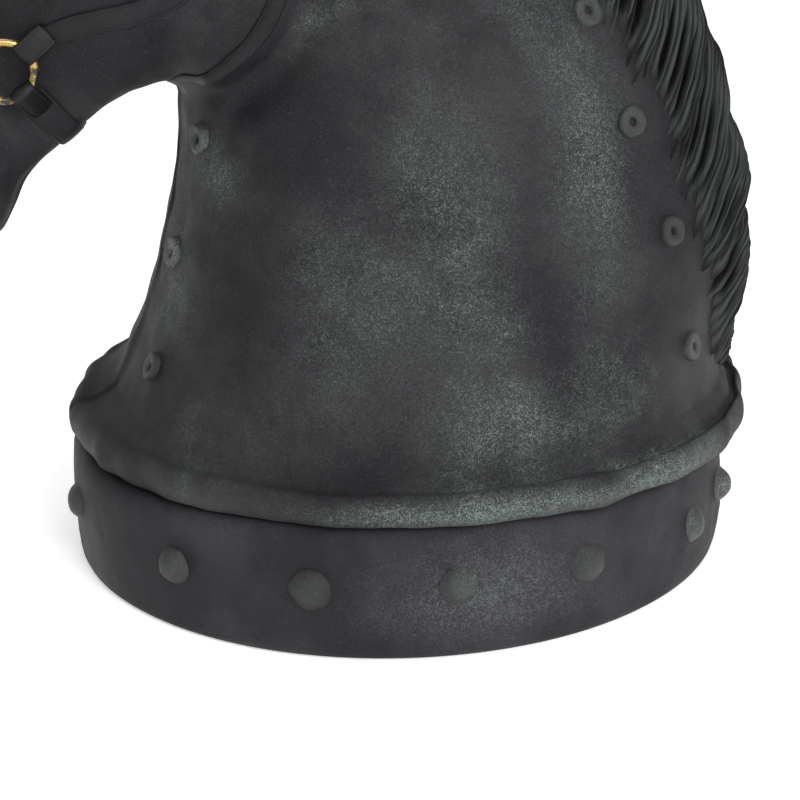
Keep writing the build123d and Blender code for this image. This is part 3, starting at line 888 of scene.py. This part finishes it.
def make_ear(sign, name):
    """Cupped ear, open forwards and outwards."""
    rows = catmull(EAR_SECTIONS, 10)
    angle = np.linspace(0, 2 * pi, 72, endpoint=False)
    facing = radians(215)
    noise = Noise(18, 410)
    outer = []
    for k, (x, y, z, long_half, thick_half) in enumerate(rows):
        open_share = smoothstep(4, 16, k)
        turn = np.angle(np.exp(1j * (angle - facing)))
        dish = np.exp(-(turn / 0.85) ** 2) * open_share * 0.92
        lip = np.exp(-((np.abs(turn) - 1.15) / 0.28) ** 2) * open_share * 0.10
        r = 1 - dish + lip
        px = x + long_half * np.cos(angle) * r
        py = y + thick_half * np.sin(angle) * r
        p = np.stack([px, py, np.full_like(px, z)], 1)
        outer.append(p + 0.4 * noise(p)[:, None] * [1, 1, 0])
    verts = np.concatenate(outer + [rows[-1:, :3] + [0, 0, 2]])
    faces = grid_faces(len(outer), 72, close_cols=True) + fan((len(outer) - 1) * 72, 72)
    faces += [tuple(range(72))]
    if sign < 0:
        verts = mirror_y(verts)
    return fix_normals(make_object(name, verts, faces))


def make_forelock(tree):
    """Forelock: seven tapering strands down the forehead."""
    parts = []
    rng = np.random.default_rng(77)
    for k in range(7):
        lane = (k - 3) * 6.2
        long_share = 1 - 0.09 * abs(k - 3) + rng.uniform(-0.04, 0.04)
        centre = np.array([-100.0, 0.0, 640.0])
        guide = []
        for q in np.linspace(0, long_share, 26):
            angle = radians(12 - 92 * q)
            up = np.array([sin(angle), 0, cos(angle)])
            y = lane * (1 - 0.55 * q ** 1.5) + 3.0 * sin(4 * q + k)
            start = centre + up * 130 + np.array([0, y, 0])
            hit, normal, _, _ = tree.find_nearest(Vector(start))
            guide.append((np.array(hit), np.array(normal), q / long_share))
        rows = []
        for hit, normal, q in guide:
            width = 6.6 * (1 - q ** 3) + 0.5
            tall = 6.5 * (1 - q ** 4) + 0.8
            row = []
            for w in np.linspace(-pi / 2, pi / 2, 11):
                groove = 0.8 * abs(sin(3 * w))
                row.append(hit + np.array([0, 1, 0]) * width * sin(w) + normal * (tall * cos(w) - groove))
            row += [hit + np.array([0, w, 0]) * width * 0.8 - normal * 3 for w in (1, -1)]
            rows.append(row)
        parts.append((np.array(rows).reshape(-1, 3), tube_faces(len(rows), len(rows[0]))))
    return fix_normals(joined("forelock_strands", parts))


# ---- materials -------------------------------------------------------------
class Nodes:
    """Small helper for building a material's nodes."""

    def __init__(self, name):
        self.material = bpy.data.materials.new(name)
        self.material.use_nodes = True
        self.tree = self.material.node_tree
        self.shader = self.tree.nodes["Principled BSDF"]
        self.place = self.add("ShaderNodeTexCoord").outputs["Object"]

    def add(self, kind, **settings):
        node = self.tree.nodes.new(kind)
        for key, value in settings.items():
            setattr(node, key, value)
        return node

    def link(self, source, target):
        self.tree.links.new(source, target)

    def feed(self, node, inputs):
        """Numbers, colours or other nodes' outputs into a node's sockets."""
        for key, value in inputs.items():
            if isinstance(value, tuple):
                node.inputs[key].default_value = (*value, 1)
            elif isinstance(value, (int, float)):
                node.inputs[key].default_value = value
            else:
                self.link(value, node.inputs[key])

    def noise(self, scale, detail=4, rough=0.6, distortion=0.0):
        node = self.add("ShaderNodeTexNoise")
        self.feed(node, {"Scale": scale, "Detail": detail, "Roughness": rough, "Distortion": distortion,
                         "Vector": self.place})
        return node.outputs["Fac"]

    def ramp(self, value, low, high, out_low=0.0, out_high=1.0):
        node = self.add("ShaderNodeMapRange", interpolation_type="SMOOTHSTEP")
        self.feed(node, {"From Min": low, "From Max": high, "To Min": out_low, "To Max": out_high,
                         "Value": value})
        return node.outputs["Result"]

    def math(self, kind, a, b):
        node = self.add("ShaderNodeMath", operation=kind)
        self.feed(node, {0: a, 1: b})
        return node.outputs[0]

    def times(self, a, b):
        return self.math("MULTIPLY", a, b)

    def plus(self, a, b):
        return self.math("ADD", a, b)

    def mix(self, factor, a, b):
        node = self.add("ShaderNodeMix", data_type="RGBA")
        self.feed(node, {0: factor, 6: a, 7: b})
        return node.outputs[2]

    def attribute(self, name):
        return self.add("ShaderNodeAttribute", attribute_name=name).outputs["Fac"]

    def patch(self, centre, size):
        """1 at a point of the object, falling to 0 at an elliptical distance."""
        at = self.place
        for kind, amounts in (("SUBTRACT", centre), ("DIVIDE", size)):
            node = self.add("ShaderNodeVectorMath", operation=kind)
            self.link(at, node.inputs[0])
            node.inputs[1].default_value = tuple(c * MM for c in amounts)
            at = node.outputs[0]
        length = self.add("ShaderNodeVectorMath", operation="LENGTH")
        self.link(at, length.inputs[0])
        return self.ramp(length.outputs["Value"], 1.0, 0.0)

    def bump(self, height, distance, strength=1.0, normal=None):
        node = self.add("ShaderNodeBump")
        self.feed(node, {"Strength": strength, "Distance": distance, "Height": height})
        if normal:
            self.link(normal, node.inputs["Normal"])
        return node.outputs["Normal"]


def rgb(r, g, b):
    """Linear colour from 0 to 255 display values."""
    def linear(c):
        c /= 255
        return c / 12.92 if c <= 0.04045 else ((c + 0.055) / 1.055) ** 2.4
    return linear(r), linear(g), linear(b)


def resin(name, base, dark, dust, dust_amount=0.5, patches=(), roughness=0.55, painted_shade=False, grain=1.0,
          gloss=0.22):
    """Cast resin: charcoal with a purplish ground and dry-brushed verdigris.

    Each patch has a centre, half sizes and a power: above 0 it is dusted more
    than the rest, below 0 it is darker as painted shade. When asked, the mesh's
    own values paint shade into its grooves and lighten the edges beside them."""
    m = Nodes(name)
    cloud = m.noise(8, 5, 0.62)
    broad = m.ramp(m.noise(4.5, 3, 0.5), 0.38, 0.66)
    amount = m.times(m.times(m.ramp(m.noise(11, 5, 0.65, distortion=0.4), 0.36, 0.80), broad), 0.6)
    streak = m.ramp(m.noise(24, 4, 0.6, distortion=0.8), 0.25, 0.65, 0.55, 1.0)
    # A patch adds dust, or with a negative power darkens the colour as painted shade.
    for centre, size, power in patches:
        amount = m.plus(amount, m.times(m.times(m.patch(centre, size), power), streak))
    ground = m.plus(cloud, m.times(amount, 0.3))
    colour = m.mix(m.ramp(ground, 0.36, 0.72), dark, base)
    speckle = m.noise(820, 4, 0.8)
    fibre = m.noise(360, 5, 0.78, distortion=1.5)
    mottle = m.ramp(m.plus(m.times(speckle, 0.5), m.times(fibre, 0.5)), 0.36, 0.64)
    colour = m.mix(m.times(m.math("SUBTRACT", 1.0, mottle), 0.6 * grain), colour, rgb(12, 12, 14))
    grit = m.times(m.ramp(speckle, 0.40, 0.62), m.ramp(fibre, 0.36, 0.62))
    dusting = m.times(m.times(amount, dust_amount), m.plus(m.times(grit, 2.5), 0.08))
    colour = m.mix(m.ramp(dusting, 0.0, 1.0), colour, dust)
    light_grit = m.times(m.ramp(m.noise(640, 2, 0.6), 0.57, 0.68), 0.13 * dust_amount)
    colour = m.mix(light_grit, colour, dust)
    flecks = m.ramp(m.noise(330, 1, 0.5), 0.785, 0.81)
    colour = m.mix(m.times(flecks, 0.2), colour, rgb(120, 122, 118))
    # Dust on the edges beside the grooves, then painted shade, near black, in the grooves, the gaps between
    # locks and under the locks.
    if painted_shade:
        colour = m.mix(m.times(m.attribute("wear"), 0.3), colour, dust)
        colour = m.mix(m.attribute("painted_shade"), colour, rgb(2, 2, 2))
    rough = m.ramp(cloud, 0.3, 0.7, roughness + 0.12, roughness - 0.02)
    coarse = m.bump(m.noise(60, 4, 0.6), 0.0012 * grain, 0.5)
    normal = m.bump(m.plus(speckle, fibre), 0.0007 * grain, 0.9, coarse)
    m.feed(m.shader, {"Base Color": colour, "Roughness": rough, "Normal": normal})
    m.shader.inputs["Specular IOR Level"].default_value = gloss
    return m.material


def set_material(obj, material):
    """The only material on an object."""
    obj.data.materials.clear()
    obj.data.materials.append(material)


def ring_material():
    """Black lacquer worn through to old brass."""
    m = Nodes("ring_brass")
    worn = m.ramp(m.noise(70, 5, 0.65), 0.47, 0.58)
    colour = m.mix(worn, rgb(18, 18, 19), rgb(176, 150, 92))
    m.feed(m.shader, {"Base Color": colour, "Metallic": m.ramp(worn, 0, 1, 0.0, 0.9),
                      "Roughness": m.ramp(m.noise(300, 3, 0.6), 0.3, 0.7, 0.18, 0.38),
                      "Normal": m.bump(m.noise(160, 4, 0.6), 0.0005, 0.6)})
    return m.material


def plain_material(name, light, dark, scale, roughness, metallic=0.0, depth=0.0005):
    """Grainy material in two tones, for the pieces inside and underneath."""
    m = Nodes(name)
    grain = m.noise(scale, 5, 0.7)
    m.feed(m.shader, {"Base Color": m.mix(m.ramp(grain, 0.35, 0.65), dark, light),
                      "Roughness": m.ramp(grain, 0.3, 0.7, roughness, roughness + 0.12),
                      "Normal": m.bump(grain, depth, 0.7)})
    m.shader.inputs["Metallic"].default_value = metallic
    return m.material


def dress(objects, nodes, material):
    """Material and body of new pieces that each stand for one CAD node, whose own piece is hidden."""
    for obj, node in zip(objects, nodes):
        set_material(obj, material)
        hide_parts(node)
        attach(obj, "statue")


def finish_hidden(frame, board):
    """Materials for the CAD pieces inside and under the plinth."""
    laminate = plain_material("laminate", rgb(178, 168, 132), rgb(140, 130, 98), 140, 0.45)
    sand = plain_material("sand", rgb(196, 180, 146), rgb(150, 134, 102), 900, 0.9, depth=0.002)
    rubber = plain_material("plug_rubber", rgb(38, 38, 39), rgb(28, 28, 29), 260, 0.7)
    steel = plain_material("screw_steel", rgb(190, 190, 188), rgb(150, 150, 150), 400, 0.32, 0.95, 0.0002)
    chosen = {"front_seam_strip": laminate, "rear_seam_strip": laminate, "sand_ballast": sand,
              "filler_plug": rubber, "base_plate_screws": steel, "base_plate": board, "screw_blocks": board}
    for node, material in chosen.items():
        set_material(frame["nodes"][node], material)


# ---- assembly --------------------------------------------------------------
# Patches of the bust. The positive ones are dustier. The negative ones are painted shade: the neck's rear
# edge at (230, -110, 290), the jaw at (-240, -100, 480) and the neck under the jaw at (-110, -150, 410).
BUST_DUST_AND_SHADE = [
    ((-70, -215, 270), (80, 140, 150), 0.38), ((20, -215, 330), (90, 140, 190), 0.5),
    ((140, -180, 360), (62, 140, 170), 0.5), ((60, -240, 170), (160, 120, 50), 0.22),
    ((230, -110, 290), (55, 120, 190), -0.7), ((20, -280, 122), (230, 60, 22), 0.8),
    ((170, -215, 118), (130, 90, 28), 0.8), ((-240, -100, 480), (150, 250, 110), -1.4),
    ((-110, -150, 410), (70, 200, 80), -0.9),
]
# Patches of the band: dustier at the front; the two negative ones are painted shade on its left and right
# sides.
BAND_DUST_AND_SHADE = [((20, -275, 50), (170, 120, 70), 0.6), ((-230, -170, 50), (110, 150, 80), -1.0),
                ((240, -150, 50), (90, 130, 80), -1.0)]


def main():
    """Builds the whole scene round the frame."""
    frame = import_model()
    set_camera()
    set_stage()

    shells = make_shells()
    tree = tree_of(shells)
    band = make_band()
    studs = make_studs()
    rivets = make_rivets(tree)

    bust_resin = resin("bust_resin", rgb(53, 53, 55), rgb(28, 27, 31), rgb(106, 117, 113), 0.85, BUST_DUST_AND_SHADE)
    plinth_resin = resin("plinth_resin", rgb(53, 52, 57), rgb(32, 31, 36), rgb(92, 97, 98), 0.55,
                         BAND_DUST_AND_SHADE)
    stud_resin = resin("stud_resin", rgb(60, 63, 63), rgb(34, 36, 37), rgb(122, 129, 125), 1.0,
                       roughness=0.46, gloss=0.45)
    dress(shells, ["left_shell", "right_shell"], bust_resin)
    dress([band], ["plinth_band"], plinth_resin)
    dress([studs, *rivets], ["plinth_studs", "left_neck_rivets", "right_neck_rivets"],
          stud_resin)

    # The mane's material paints shade into its grooves and under its locks.
    mane_resin = resin("mane_resin", rgb(50, 51, 52), rgb(29, 29, 31), rgb(106, 112, 110), 0.9,
                       painted_shade=True, gloss=0.05)
    strap_resin = resin("strap_resin", rgb(34, 34, 37), rgb(22, 22, 25), rgb(72, 78, 76), 0.5,
                        roughness=0.46)
    loop_gloss = resin("loop_gloss", rgb(16, 16, 18), rgb(10, 10, 11), rgb(52, 58, 56), 0.2,
                       roughness=0.28, grain=0.6, gloss=0.3)
    ring_metal = ring_material()
    eye_gloss = resin("eye_gloss", rgb(24, 22, 22), rgb(14, 13, 13), rgb(40, 40, 40), 0.1,
                      roughness=0.12, grain=0.1)
    count = len(MANE_NOTCHES) - 1
    dress([make_lock(k) for k in range(count)], [f"mane_lock_{k + 1:02d}" for k in range(count)],
          mane_resin)
    straps = make_bridle(tree)
    dress(straps.values(), straps, strap_resin)
    for side, sign in (("left", 1), ("right", -1)):
        ring, loops = f"{side}_bridle_ring", f"{side}_ring_loops"
        dress([make_ring(ring)], [ring], ring_metal)
        dress([make_loops(loops, ring, tree)], [loops], loop_gloss)
        dress([make_eye(tree, sign, f"eyeball_{side}")], [f"{side}_eye"], eye_gloss)
        dress([make_ear(sign, f"ear_{side}")], [f"{side}_ear"], bust_resin)
    dress([make_forelock(tree)], ["forelock"], mane_resin)
    finish_hidden(frame, plinth_resin)


main()
